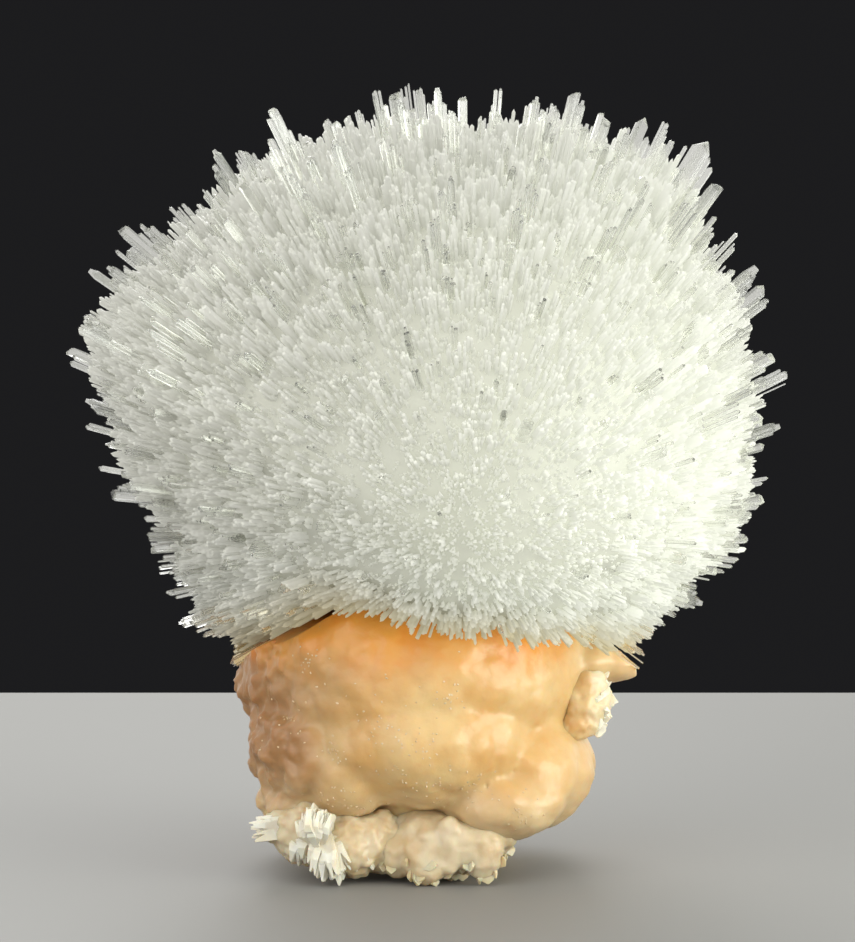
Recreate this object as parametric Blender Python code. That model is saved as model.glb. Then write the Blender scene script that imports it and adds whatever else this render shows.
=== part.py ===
# Ball of scolecite needles grown on a lump of peach stilbite, a loose cabinet specimen.
# Metres, +Z up. It is looked at along +Y. The origin is the middle of the flat spot it rests on.

import math
import random

import bmesh
import bpy
from mathutils import Matrix, Vector, noise

MM = 0.001
GAP = 0.3 * MM  # air between pieces that touch
SPRAY_CLEARANCE = 0.7 * MM  # height of the air under the spray's coarser underside

# Scolecite spray
GROWTH_CENTRE = Vector((7.5, 0.0, 42.0)) * MM  # every crystal points away from here
BALL_CENTRE = GROWTH_CENTRE + Vector((-5.0, 1.0, 14.0)) * MM  # middle of the ball that the tips form
BALL_HALF = Vector((46.0, 42.0, 42.5)) * MM
# Reach of the tips in millimetres as seen from the front, every 15 degrees from the right over the top
SIDE_REACH = (
    37.5, 40.5, 45.5, 49.5, 56.5, 56.5, 55.5, 56.5, 56.5, 56.0, 58.0, 49.0,
    40.5, 38.0, 35.0, 32.0, 30.0, 28.0, 28.0, 28.0, 28.0, 28.5, 28.5, 31.5,
)
# Slope of the lowest crystals in degrees, every 30 degrees from the right round the back
SKIRT_SLOPE = (-38.0, -34.0, -30.0, -29.0, -30.0, -31.0, -30.0, -24.0, -15.0, -23.5, -28.0, -34.0)
CELLS = 14  # crystals along a quarter turn
CELL_TURN = Matrix.Rotation(0.62, 3, Vector((0.48, 0.71, 0.52)))  # keeps the rows out of line with the front
UNEVEN = 0.30  # how far the crystals' feet stray from an even spacing, as a share of it
SWIRL = 0.10  # how far the rows of crystals bend
SWIRL_SCALE = 2.2  # how often they bend
BED_SHARE = 0.82  # where the crystals part from each other, as a share of the reach
TIP_SHARE = (0.91, 1.03)  # shortest and longest crystal, as a share of the reach
PRISM_SHARE = 0.17  # how many crystals are broad enough to show flat sides and a chisel tip
PRISM_INSET = (0.25 * MM, 0.6 * MM)  # how far a broad crystal's sides stand in from its cell
SLANT = (0.6 * MM, 2.0 * MM)  # how much a chisel tip drops across its width
LEAN = 0.04  # how far a needle leans from the straight line out, as a share of its distance
SKIRT_MARGIN = math.radians(1.0)  # nothing grows closer than this to the skirt
RIM_POINTS = 72  # corners of the skirt that trims the stilbite

# Stilbite: each lump is its middle and its half-sizes, in millimetres
MASS_LUMPS = (
    ((1.5, 0.0, 25.0), (23.0, 24.0, 19.0), 3),
    ((0.5, 1.0, 8.0), (15.0, 17.0, 12.0), 2),
    ((-11.5, -5.5, 16.0), (8.6, 15.0, 9.6), 2),
    ((2.5, -13.5, 17.5), (14.5, 11.5, 9.5), 3),
    ((15.0, -6.0, 13.4), (9.2, 14.5, 8.4), 3),
    ((14.5, 9.0, 15.0), (8.5, 12.0, 10.0), 2),
    ((-12.5, 8.5, 13.0), (7.0, 10.0, 10.5), 2),
    ((-2.0, 17.0, 12.0), (13.0, 8.0, 11.0), 2),
    ((-13.6, -9.0, 8.8), (5.4, 7.5, 4.0), 2),
    ((12.0, -15.0, 10.2), (8.5, 7.5, 5.0), 2),
    ((-6.5, -17.0, 13.2), (5.6, 5.0, 5.2), 2),
    ((23.5, -3.0, 26.5), (6.5, 8.0, 3.2), 2),
)
FOOT_LUMPS = (
    ((3.6, -13.8, 4.6), (7.0, 7.8, 5.0), 2),
    ((9.4, -12.4, 5.6), (4.8, 7.2, 4.4), 2),
    ((7.0, -18.6, 5.0), (4.6, 3.4, 3.6), 2),
)
SIDE_LUMPS = (
    ((22.4, -8.0, 21.6), (3.6, 5.2, 4.0), 2),
    ((21.6, -9.5, 18.8), (2.6, 3.4, 2.4), 2),
)
# Sheaves: root, direction of the middle blade, length, opening in degrees, blades
SHEAVES = (
    ((-12.5, -14.5, 7.0), (-1.0, 0.0, -0.16), 7.8, 38.0, 5),
    ((-12.0, -16.5, 6.0), (-0.3, -0.3, -1.0), 4.6, 40.0, 4),
    ((-10.6, -19.5, 6.0), (-0.1, -0.35, 0.95), 5.2, 60.0, 5),
    ((-8.8, -17.5, 6.0), (0.0, -0.5, -1.0), 7.4, 52.0, 6),
    ((-5.8, -16.5, 6.0), (0.2, -0.25, -1.0), 5.8, 50.0, 5),
)
SHEAF_ROOT = ((-9.5, -15.5, 5.5), (5.5, 5.0, 4.5), 2)  # the lump that the sheaves grow from
BLADE_WIDTH = 2.4 * MM
BLADE_THICKNESS = 1.2 * MM
BLADE_FOOT = 0.5  # width of a blade at its root, as a share of its full width
BLADE_SHOULDER = 0.84  # where a blade starts to narrow to its point, as a share of its length
BLADE_LENGTH_SHARE = (0.82, 1.0)
BLADE_STEP = (-0.8, 0.8)  # how far a blade stands in front of the next, as a share of its thickness
LUMP_ROUGHNESS = 0.07  # how far the flat faces of a lump stand in or out, as a share of its size
REACH_OF_TOOLS = 90.0 * MM  # half-size of the blocks that trim a piece

SEED = 41
random_source = random.Random(SEED)
noise.seed_set(SEED)


def clear_scene():
    for old in list(bpy.data.objects):
        bpy.data.objects.remove(old)


def between(span):
    return random_source.uniform(span[0], span[1])


def eased(values, turn):
    """Value at a share of a full turn, eased between entries that are spread evenly round it."""
    place = (turn % 1.0) * len(values)
    first = int(place) % len(values)
    share = place - int(place)
    share = share * share * (3.0 - 2.0 * share)
    return values[first] * (1.0 - share) + values[(first + 1) % len(values)] * share


def ball_reach(direction):
    """Distance from the growth centre to the even ball along a direction."""
    start = Vector([a / b for a, b in zip(GROWTH_CENTRE - BALL_CENTRE, BALL_HALF)])
    step = Vector([a / b for a, b in zip(direction, BALL_HALF)])
    along = start.dot(step)
    square = step.length_squared
    return (math.sqrt(along ** 2 - square * (start.length_squared - 1.0)) - along) / square


def reach(direction):
    """Distance from the growth centre to the tips: the ball, drawn to the outline seen from the front."""
    in_outline = Vector((direction.x, 0.0, direction.z))
    if in_outline.length_squared == 0.0:
        return ball_reach(direction)
    side = eased(SIDE_REACH, math.atan2(direction.z, direction.x) / math.tau) * MM
    drawn = side / ball_reach(in_outline.normalized())
    return ball_reach(direction) * (1.0 + (drawn - 1.0) * in_outline.length_squared)


def skirt_slope(direction):
    """Slope of the lowest crystals below a direction's bearing, in radians."""
    return math.radians(eased(SKIRT_SLOPE, math.atan2(direction.y, direction.x) / math.tau))


def on_skirt(direction):
    """The direction on the skirt with the same bearing."""
    bearing = math.atan2(direction.y, direction.x)
    slope = skirt_slope(direction)
    level = math.cos(slope)
    return Vector((level * math.cos(bearing), level * math.sin(bearing), math.sin(slope)))


def material(name, colour, roughness, transmission=0.0):
    made = bpy.data.materials.new(name)
    made.use_nodes = True
    shader = made.node_tree.nodes["Principled BSDF"]
    shader.inputs["Base Color"].default_value = (*colour, 1.0)
    shader.inputs["Roughness"].default_value = roughness
    shader.inputs["Metallic"].default_value = 0.0
    shader.inputs["Transmission Weight"].default_value = transmission
    made.diffuse_color = (*colour, 1.0)
    return made


def piece(name, mesh_source, finish=None):
    mesh = bpy.data.meshes.new(name)
    bmesh.ops.recalc_face_normals(mesh_source, faces=mesh_source.faces)
    mesh_source.to_mesh(mesh)
    mesh_source.free()
    made = bpy.data.objects.new(name, mesh)
    bpy.context.scene.collection.objects.link(made)
    if finish:
        mesh.materials.append(finish)
    return made


def tool(name, mesh_source):
    """A hidden shape that joins or trims a piece."""
    made = piece(name, mesh_source)
    made.hide_render = True
    made.display_type = "WIRE"
    return made


def tool_set(name, tools):
    """Hidden shapes that one Boolean step uses together."""
    group = bpy.data.collections.new(name)
    bpy.context.scene.collection.children.link(group)
    for one in tools:
        group.objects.link(one)
        bpy.context.scene.collection.objects.unlink(one)
    return group


def boolean(body, operation, group):
    step = body.modifiers.new(operation.title() + " " + group.name, "BOOLEAN")
    step.operation = operation
    step.solver = "EXACT"
    step.operand_type = "COLLECTION"
    step.collection = group


def is_below_skirt(direction):
    return math.asin(direction.z) < skirt_slope(direction) + SKIRT_MARGIN


def crystal_cells():
    """Directions of a ball of uneven square cells, cut off along the skirt."""
    cells = bmesh.new()
    bmesh.ops.create_cube(cells, size=2.0)
    bmesh.ops.subdivide_edges(cells, edges=cells.edges, cuts=CELLS - 1, use_grid_fill=True)
    stray = UNEVEN * (math.pi / 2.0) / CELLS
    for vertex in cells.verts:
        even = Vector([math.tan(value * math.pi / 4.0) for value in vertex.co]).normalized()
        swirl = noise.noise_vector(even * SWIRL_SCALE) * SWIRL
        loose = Vector([between((-stray, stray)) for _ in range(3)])
        on_ball = (CELL_TURN @ even + swirl + loose).normalized()
        place = BALL_CENTRE + Vector([a * b for a, b in zip(on_ball, BALL_HALF)])
        vertex.co = (place - GROWTH_CENTRE).normalized()
    low = [face for face in cells.faces if is_below_skirt(face.calc_center_median().normalized())]
    bmesh.ops.delete(cells, geom=low, context="FACES")
    for vertex in cells.verts:
        if vertex.is_boundary:
            vertex.co = on_skirt(vertex.co)
    return cells


def close_underside(cells):
    """The lowest crystals meet in a hollow cone with its top at the growth centre."""
    rim = [edge for edge in cells.edges if edge.is_boundary]
    top = cells.verts.new(GROWTH_CENTRE)
    for edge in rim:
        cells.faces.new((edge.verts[0], edge.verts[1], top))


def grow_needle(cells, bed):
    """A slender four-sided point on the whole of its cell."""
    middle = bed.calc_center_median() - GROWTH_CENTRE
    direction = middle.normalized()
    top = bmesh.ops.poke(cells, faces=[bed])["verts"][0]
    leant = (direction + Vector([between((-LEAN, LEAN)) for _ in range(3)])).normalized()
    if is_below_skirt(leant):
        leant = direction
    top.co = GROWTH_CENTRE + leant * reach(direction) * between(TIP_SHARE)


def grow_prism(cells, bed):
    """A broad crystal with parallel sides and a slanted chisel tip."""
    bmesh.ops.inset_individual(cells, faces=[bed], thickness=between(PRISM_INSET), use_even_offset=True)
    grown = bmesh.ops.extrude_discrete_faces(cells, faces=[bed])["faces"][0]
    middle = grown.calc_center_median() - GROWTH_CENTRE
    direction = middle.normalized()
    length = reach(direction) * between(TIP_SHARE) - middle.length
    bmesh.ops.translate(cells, verts=grown.verts, vec=direction * length)
    edge = random_source.choice(list(grown.edges))
    drop = direction * between(SLANT)
    for vertex in edge.verts:
        vertex.co -= drop


def scolecite_spray():
    cells = crystal_cells()
    for vertex in cells.verts:
        direction = vertex.co.normalized()
        vertex.co = GROWTH_CENTRE + direction * reach(direction) * BED_SHARE
    beds = list(cells.faces)
    close_underside(cells)
    bmesh.ops.recalc_face_normals(cells, faces=cells.faces)
    for bed in beds:
        grow = grow_prism if random_source.random() < PRISM_SHARE else grow_needle
        grow(cells, bed)
    bmesh.ops.triangulate(cells, faces=cells.faces)
    return piece("scolecite_spray", cells, material("scolecite", (0.86, 0.87, 0.82), 0.22, 0.35))


def lump(name, middle, half_sizes, fineness, grown=0.0):
    """A rounded lump with uneven flat faces. The same lump can be grown to cut room for itself."""
    uneven = random.Random(name)
    ball = bmesh.new()
    bmesh.ops.create_icosphere(ball, subdivisions=fineness, radius=1.0)
    for vertex in ball.verts:
        share = 1.0 + uneven.uniform(-LUMP_ROUGHNESS, LUMP_ROUGHNESS)
        stretched = [value * size * MM * share for value, size in zip(vertex.co, half_sizes)]
        vertex.co = Vector(stretched) + vertex.co * grown + Vector(middle) * MM
    return ball


def lumps_of(name, lumps, grown=0.0):
    """Hidden shapes of a cluster of lumps, one for each."""
    names = [f"{name} {count}" for count in range(len(lumps))]
    return [tool(one, lump(one, *shape, grown)) for one, shape in zip(names, lumps)]


def fused_lumps(name, lumps, finish):
    """Lumps joined into one body."""
    body = piece(name, lump(f"{name} 0", *lumps[0]), finish)
    others = lumps_of(name, lumps)[1:]
    boolean(body, "UNION", tool_set(name + " lumps", others))
    return body


def leave_room(body, name, lumps):
    """Cuts away what another cluster of lumps takes up, with the gap round it."""
    room = tool_set(f"{body.name} room for {name}", lumps_of(name, lumps, GAP))
    boolean(body, "DIFFERENCE", room)


def block(name, low, high):
    box = bmesh.new()
    bmesh.ops.create_cube(box, size=1.0)
    for vertex in box.verts:
        share = vertex.co + Vector((0.5, 0.5, 0.5))
        vertex.co = Vector([a + (b - a) * s for a, b, s in zip(low, high, share)])
    return tool(name, box)


def ground():
    """Everything below the resting level."""
    wide = REACH_OF_TOOLS
    return tool_set("below", [block("ground", (-wide, -wide, -wide), (wide, wide, 0.0))])


def spray_room():
    """Everything above the skirt and a little below it, so that the stilbite ends under the needles."""
    room = bmesh.new()
    lowered = Vector((0.0, 0.0, -SPRAY_CLEARANCE))
    top = room.verts.new(GROWTH_CENTRE + lowered)
    rim = []
    for count in range(RIM_POINTS):
        bearing = math.tau * count / RIM_POINTS
        direction = on_skirt(Vector((math.cos(bearing), math.sin(bearing), 0.0)))
        rim.append(room.verts.new(GROWTH_CENTRE + direction * REACH_OF_TOOLS + lowered))
    lid = [room.verts.new((vertex.co.x, vertex.co.y, REACH_OF_TOOLS)) for vertex in rim]
    for count in range(RIM_POINTS):
        after = (count + 1) % RIM_POINTS
        room.faces.new((rim[count], rim[after], top))
        room.faces.new((rim[count], rim[after], lid[after], lid[count]))
    room.faces.new(lid)
    return tool_set("above", [tool("spray room", room)])


def blade(root, direction, across, length):
    """A flat blade that widens from its root and ends in a point."""
    shape = bmesh.new()
    half = BLADE_WIDTH / 2.0
    foot = half * BLADE_FOOT
    shoulder = BLADE_SHOULDER * length
    outline = ((0.0, -foot), (shoulder, -half), (length, 0.0), (shoulder, half), (0.0, foot))
    normal = direction.cross(across).normalized()
    corners = [shape.verts.new(root + direction * x + across * y) for x, y in outline]
    front = shape.faces.new(corners)
    back = bmesh.ops.extrude_face_region(shape, geom=[front])["geom"]
    moved = [item for item in back if isinstance(item, bmesh.types.BMVert)]
    bmesh.ops.translate(shape, verts=moved, vec=normal * BLADE_THICKNESS)
    return shape


def sheaf(number, root, direction, length, opening, blades):
    """Blades that fan out from one root, their flat sides to the front and none quite in line."""
    middle = Vector(direction).normalized()
    front = Vector((0.0, -1.0, 0.0))
    facing = (front - middle * front.dot(middle)).normalized()
    made = []
    for count in range(blades):
        share = count / (blades - 1) - 0.5
        turned = Matrix.Rotation(math.radians(opening) * share, 3, facing) @ middle
        across = facing.cross(turned).normalized()
        forward = facing * BLADE_THICKNESS * between(BLADE_STEP)
        size = length * MM * between(BLADE_LENGTH_SHARE)
        shape = blade(Vector(root) * MM + forward, turned, across, size)
        made.append(tool(f"sheaf {number} blade {count}", shape))
    return made


def stilbite_sheaves(finish):
    blades = [one for number, shape in enumerate(SHEAVES) for one in sheaf(number, *shape)]
    body = piece("stilbite_sheaves", lump("sheaf root", *SHEAF_ROOT), finish)
    boolean(body, "UNION", tool_set("blades", blades))
    leave_room(body, "stilbite_mass", MASS_LUMPS)
    leave_room(body, "stilbite_foot_lobe", FOOT_LUMPS)
    return body


def build():
    clear_scene()
    scolecite_spray()
    peach = material("peach stilbite", (0.83, 0.52, 0.27), 0.38)
    cream = material("cream stilbite", (0.82, 0.70, 0.52), 0.42)
    white = material("white stilbite", (0.86, 0.84, 0.78), 0.35)
    floor = ground()
    mass = fused_lumps("stilbite_mass", MASS_LUMPS, peach)
    boolean(mass, "DIFFERENCE", spray_room())
    leave_room(mass, "stilbite_foot_lobe", FOOT_LUMPS)
    leave_room(mass, "stilbite_side_lobe", SIDE_LUMPS)
    boolean(mass, "DIFFERENCE", floor)
    foot_lobe = fused_lumps("stilbite_foot_lobe", FOOT_LUMPS, cream)
    boolean(foot_lobe, "DIFFERENCE", floor)
    fused_lumps("stilbite_side_lobe", SIDE_LUMPS, cream)
    sheaves = stilbite_sheaves(white)
    boolean(sheaves, "DIFFERENCE", floor)


build()
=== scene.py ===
# %% [markdown]
# # A ball of scolecite needles on peach stilbite
# This lesson dresses a finished set of solids as a real mineral specimen. Scolecite grows as thousands of
# square needles that all start from one point. Stilbite is its neighbour here, a waxy peach mass with pale
# lobes and small white sheaves. The solids give every place and size, and the cells below add the needles,
# the lobes, the sheaves and their finishes.

# %% Load the solids
import math

import bmesh
import bpy
import numpy as np
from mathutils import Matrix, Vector
from mathutils.kdtree import KDTree


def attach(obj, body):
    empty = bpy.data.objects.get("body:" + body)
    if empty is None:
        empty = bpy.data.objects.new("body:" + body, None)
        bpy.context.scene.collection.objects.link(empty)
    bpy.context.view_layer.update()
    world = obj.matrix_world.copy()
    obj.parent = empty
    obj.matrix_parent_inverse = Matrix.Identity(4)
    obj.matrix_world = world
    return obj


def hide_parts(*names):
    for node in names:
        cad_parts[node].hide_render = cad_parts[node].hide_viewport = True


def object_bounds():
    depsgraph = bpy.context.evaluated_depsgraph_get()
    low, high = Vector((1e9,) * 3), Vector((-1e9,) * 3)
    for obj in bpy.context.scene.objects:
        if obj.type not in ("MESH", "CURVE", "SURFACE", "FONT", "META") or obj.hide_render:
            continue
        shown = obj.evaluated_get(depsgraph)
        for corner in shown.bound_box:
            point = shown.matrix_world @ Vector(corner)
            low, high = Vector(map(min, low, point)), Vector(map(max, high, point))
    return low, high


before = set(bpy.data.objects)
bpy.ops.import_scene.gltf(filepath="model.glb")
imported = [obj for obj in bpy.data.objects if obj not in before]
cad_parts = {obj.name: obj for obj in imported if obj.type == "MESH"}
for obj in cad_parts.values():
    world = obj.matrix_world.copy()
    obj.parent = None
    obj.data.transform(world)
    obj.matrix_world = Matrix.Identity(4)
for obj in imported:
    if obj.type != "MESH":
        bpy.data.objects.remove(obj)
cad_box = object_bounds()
print("solids", sorted(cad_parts))
print("box in mm", [[round(value * 1000, 2) for value in corner] for corner in cad_box])

# %% [markdown]
# ## Camera
# A specimen this small is photographed from a little over half a metre with a long lens, and from a little
# above its middle. A long lens keeps the near needles from looking larger than the far ones. The lens is
# worked out from the height of the view and the distance, so either can be changed alone.

# %% Place the camera
MM = 0.001
VIEW_HEIGHT = 118.7 * MM
VIEW_MIDDLE = Vector((2.835, 0.0, 49.46)) * MM
VIEW_DISTANCE = 0.62
VIEW_RISE = math.radians(5.0)

camera = bpy.data.objects.new("camera", bpy.data.cameras.new("camera"))
bpy.context.scene.collection.objects.link(camera)
camera.data.lens = camera.data.sensor_width * VIEW_DISTANCE / VIEW_HEIGHT
camera.data.clip_start = 0.05
backward = Vector((0.0, -math.cos(VIEW_RISE), math.sin(VIEW_RISE)))
camera.location = VIEW_MIDDLE + backward * VIEW_DISTANCE
camera.rotation_euler = (math.pi / 2.0 - VIEW_RISE, 0.0, 0.0)
bpy.context.scene.camera = camera
print("lens in mm", round(camera.data.lens, 1))

# %% [markdown]
# ## Floor and light
# Pale crystals read best on a plain pale floor under large soft lights. The key comes low from the right, so
# the right of the ball is nearly white and its left falls into a warm grey. A weaker fill from the left keeps
# that side open, and a light from behind draws bright edges on the glassy tips. The key and the fill are
# hidden from rays that pass through crystals, or every clear tip would turn white.

# %% Floor and lights
FLOOR_SIDE = 0.32
FLOOR_GREY = (0.24, 0.24, 0.237)


def plain_material(name, colour, roughness):
    made = bpy.data.materials.new(name)
    made.use_nodes = True
    shader = made.node_tree.nodes["Principled BSDF"]
    shader.inputs["Base Color"].default_value = (*colour, 1.0)
    shader.inputs["Roughness"].default_value = roughness
    return made


def select_only(*pieces):
    """Selects the given pieces and nothing else, and makes the first of them active."""
    bpy.ops.object.select_all(action="DESELECT")
    for piece in pieces:
        piece.select_set(True)
    if pieces:
        bpy.context.view_layer.objects.active = pieces[0]


select_only()
bpy.ops.mesh.primitive_plane_add(size=FLOOR_SIDE)
floor = bpy.context.object
floor.name = "floor"
floor.data.materials.append(plain_material("pale floor", FLOOR_GREY, 0.6))


def soft_light(name, place, size, watts, colour, through_crystals):
    """A square soft light that faces the middle of the specimen."""
    light = bpy.data.lights.new(name, "AREA")
    light.shape = "SQUARE"
    light.size = size
    light.energy = watts
    light.color = colour
    holder = bpy.data.objects.new(name, light)
    bpy.context.scene.collection.objects.link(holder)
    holder.location = place
    holder.rotation_euler = (VIEW_MIDDLE - Vector(place)).to_track_quat("-Z", "Y").to_euler()
    holder.visible_transmission = through_crystals


soft_light("key from the right", (0.56, -0.33, 0.09), 0.45, 3.9, (0.975, 1.0, 0.91), False)
soft_light("fill from the left", (-0.40, -0.50, 0.30), 0.5, 1.4, (1.0, 0.985, 0.93), False)
soft_light("edge from behind", (-0.10, 0.55, 0.42), 0.35, 1.4, (1.0, 1.0, 1.0), True)
print("watts", {light.name: round(light.energy, 2) for light in bpy.data.lights})

# %% [markdown]
# ## The room
# The room itself is a pale glow. It looks dark where the camera sees it directly, and dimmer through clear
# crystals, which keeps the tips grey and glassy. A small helper adds a shader node and feeds its inputs, here
# and in every finish. Light may turn many times inside a clear needle before it leaves, and it would end in a
# black speck if it were given up too soon.

# %% The room
ROOM_COLOUR = (1.0, 0.99, 0.945, 1.0)
ROOM_STRENGTH = 1.01
BACKDROP_COLOUR = (0.012, 0.012, 0.013, 1.0)
BACKDROP_THROUGH_CRYSTALS = 0.4


def add_node(tree, kind, values=None, **settings):
    """A shader node, whose inputs are given values or linked to the outputs of other nodes."""
    node = tree.nodes.new(f"ShaderNode{kind}")
    for key, value in settings.items():
        setattr(node, key, value)
    for label, value in (values or {}).items():
        if isinstance(value, bpy.types.NodeSocket):
            tree.links.new(value, node.inputs[label])
        else:
            node.inputs[label].default_value = value
    return node


world = bpy.data.worlds.new("soft room")
world.use_nodes = True
tree = world.node_tree
room = tree.nodes["Background"]
room.inputs["Color"].default_value = ROOM_COLOUR
room.inputs["Strength"].default_value = ROOM_STRENGTH
backdrop = add_node(tree, "Background", {"Color": BACKDROP_COLOUR})
ray = add_node(tree, "LightPath").outputs
dark = add_node(tree, "Math", {
    0: ray["Is Transmission Ray"], 1: BACKDROP_THROUGH_CRYSTALS, 2: ray["Is Camera Ray"],
}, operation="MULTIPLY_ADD", use_clamp=True)
mixed = add_node(tree, "MixShader", {0: dark.outputs[0], 1: room.outputs[0], 2: backdrop.outputs[0]})
tree.links.new(mixed.outputs[0], tree.nodes["World Output"].inputs["Surface"])
bpy.context.scene.world = world
bpy.context.scene.view_settings.view_transform = "Standard"
bpy.context.scene.cycles.diffuse_bounces = 3
bpy.context.scene.cycles.glossy_bounces = 8
bpy.context.scene.cycles.max_bounces = 12
bpy.context.scene.cycles.transmission_bounces = 12

# %% [markdown]
# ## The law that the needles follow
# All needles point away from one growth centre low in the ball. Their tips form a ball that is drawn to the
# outline of the real specimen, and the lowest ones lie along a shallow skirt. The same law, with the same
# numbers, shapes the solid of the spray, so the needles end where it ends. It is written for whole arrays of
# directions at once, because there are tens of thousands of them.

# %% Reach of the needles
GROWTH_CENTRE = np.array((7.5, 0.0, 42.0)) * MM
BALL_CENTRE = GROWTH_CENTRE + np.array((-5.0, 1.0, 14.0)) * MM
BALL_HALF = np.array((46.0, 42.0, 42.5)) * MM
SIDE_REACH = (  # in millimetres, every 15 degrees from the right over the top
    37.5, 40.5, 45.5, 49.5, 56.5, 56.5, 55.5, 56.5, 56.5, 56.0, 58.0, 49.0,
    40.5, 38.0, 35.0, 32.0, 30.0, 28.0, 28.0, 28.0, 28.0, 28.5, 28.5, 31.5,
)
SKIRT_SLOPE = (-38.0, -34.0, -30.0, -29.0, -30.0, -31.0, -30.0, -24.0, -15.0, -23.5, -28.0, -34.0)


def eased(values, turn):
    """Values at shares of a full turn, eased between entries that are spread evenly round it."""
    table = np.array(values)
    place = np.mod(turn, 1.0) * len(table)
    first = place.astype(int) % len(table)
    share = place - np.floor(place)
    share = share * share * (3.0 - 2.0 * share)
    return table[first] * (1.0 - share) + table[(first + 1) % len(table)] * share


def unit(vectors):
    return vectors / np.linalg.norm(vectors, axis=1, keepdims=True)


def ball_reach(directions):
    """Distance from the growth centre to the even ball."""
    start = (GROWTH_CENTRE - BALL_CENTRE) / BALL_HALF
    step = directions / BALL_HALF
    along = step @ start
    square = (step ** 2).sum(axis=1)
    return (np.sqrt(along ** 2 - square * (start @ start - 1.0)) - along) / square


def reach(directions):
    """Distance from the growth centre to the tips."""
    sideways = directions * (1.0, 0.0, 1.0)
    level = np.linalg.norm(sideways, axis=1).clip(1e-6)
    side = eased(SIDE_REACH, np.arctan2(directions[:, 2], directions[:, 0]) / math.tau) * MM
    drawn = side / ball_reach(sideways / level[:, None])
    return ball_reach(directions) * (1.0 + (drawn - 1.0) * level ** 2)


def skirt_slope(directions):
    """Slope of the lowest needles at each bearing, in radians."""
    return np.radians(eased(SKIRT_SLOPE, np.arctan2(directions[:, 1], directions[:, 0]) / math.tau))


def above_skirt(directions):
    """Angle of each direction above the skirt, in radians."""
    return np.arcsin(directions[:, 2].clip(-1.0, 1.0)) - skirt_slope(directions)


right_and_up = reach(np.array(((1.0, 0.0, 0.0), (0.0, 0.0, 1.0)))) / MM
print("reach in mm to the right and upwards", right_and_up.round(1))

# %% [markdown]
# ## Helpers for modelling by hand
# Each crystal form starts as a primitive and is shaped in edit mode. An operator acts on all that is
# selected, so a small helper selects faces by a test on their middle and their normal, and nothing else.

# %% Helpers for edit mode
def begin(name):
    """Names the primitive that was just added and opens it for editing."""
    made = bpy.context.object
    made.name = name
    bpy.ops.object.mode_set(mode="EDIT")
    bpy.ops.mesh.select_mode(type="FACE")
    return made


def choose(test):
    """Selects the faces that pass a test on their middle and normal, and nothing else."""
    bpy.ops.mesh.select_all(action="DESELECT")
    editing = bmesh.from_edit_mesh(bpy.context.object.data)
    for face in editing.faces:
        face.select_set(test(face.calc_center_median(), face.normal))
    bmesh.update_edit_mesh(bpy.context.object.data)


def finish_form():
    bpy.ops.object.mode_set(mode="OBJECT")


def extrude_up(height):
    bpy.ops.mesh.extrude_region_move(TRANSFORM_OT_translate={"value": (0.0, 0.0, height)})


def is_top(middle, normal):
    return normal.z > 0.5


def is_bottom(middle, normal):
    return normal.z < -0.5


# %% [markdown]
# ## Crystal forms
# A scolecite crystal is a nearly square prism. Fine ones end in a low pyramid. Broader ones end in a chisel
# edge or a slanted face, and the broadest are really several laths grown side by side with stepped ends. Four
# forms, each modelled once, are enough when every copy has its own width, length and turn. Each form is one
# unit wide and one unit long, and what stands above its shoulder keeps its height when it is stretched.

# %% Model the crystal forms
HALF_DIAGONAL = math.sqrt(0.5)
SQUARE_TURN = math.radians(45.0)
HAIR_POINT = 1.1  # the ends are measured in widths
FINE_POINT = 0.7
CHISEL_HEIGHT = 0.5
CHISEL_LEAN = math.radians(16.0)
CORNER_CUT = 0.16
SLANT_STEP = 0.12
SLANT_LEAN = math.radians(24.0)
LATHS = (  # place across, width, depth and height of the end
    (-0.33, 0.0, 0.3, 0.62, 0.3), (-0.06, 0.06, 0.26, 0.9, 0.95),
    (0.2, -0.05, 0.28, 0.74, 0.5), (0.41, 0.04, 0.16, 0.5, 0.2),
)


def add_prism(name, sides, turn):
    select_only()
    bpy.ops.mesh.primitive_cylinder_add(
        vertices=sides, radius=HALF_DIAGONAL, depth=1.0, location=(0.0, 0.0, 0.5), rotation=(0.0, 0.0, turn)
    )
    bpy.ops.object.transform_apply(location=True, rotation=True, scale=True)
    return begin(name)


def pointed_needle(name, sides, turn, height):
    """The top is extruded and drawn into one point."""
    form = add_prism(name, sides, turn)
    choose(is_top)
    extrude_up(height)
    bpy.ops.mesh.merge(type="CENTER")
    finish_form()
    return form


def chisel_prism():
    """The top is drawn together along one side, to an edge that leans a little."""
    form = add_prism("chisel prism", 4, SQUARE_TURN)
    choose(is_top)
    extrude_up(CHISEL_HEIGHT)
    bpy.ops.transform.resize(value=(1.0, 0.04, 1.0))
    edge_middle = (0.0, 0.0, 1.0 + CHISEL_HEIGHT)
    bpy.ops.transform.rotate(value=CHISEL_LEAN, orient_axis="Y", center_override=edge_middle)
    finish_form()
    return form


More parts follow.
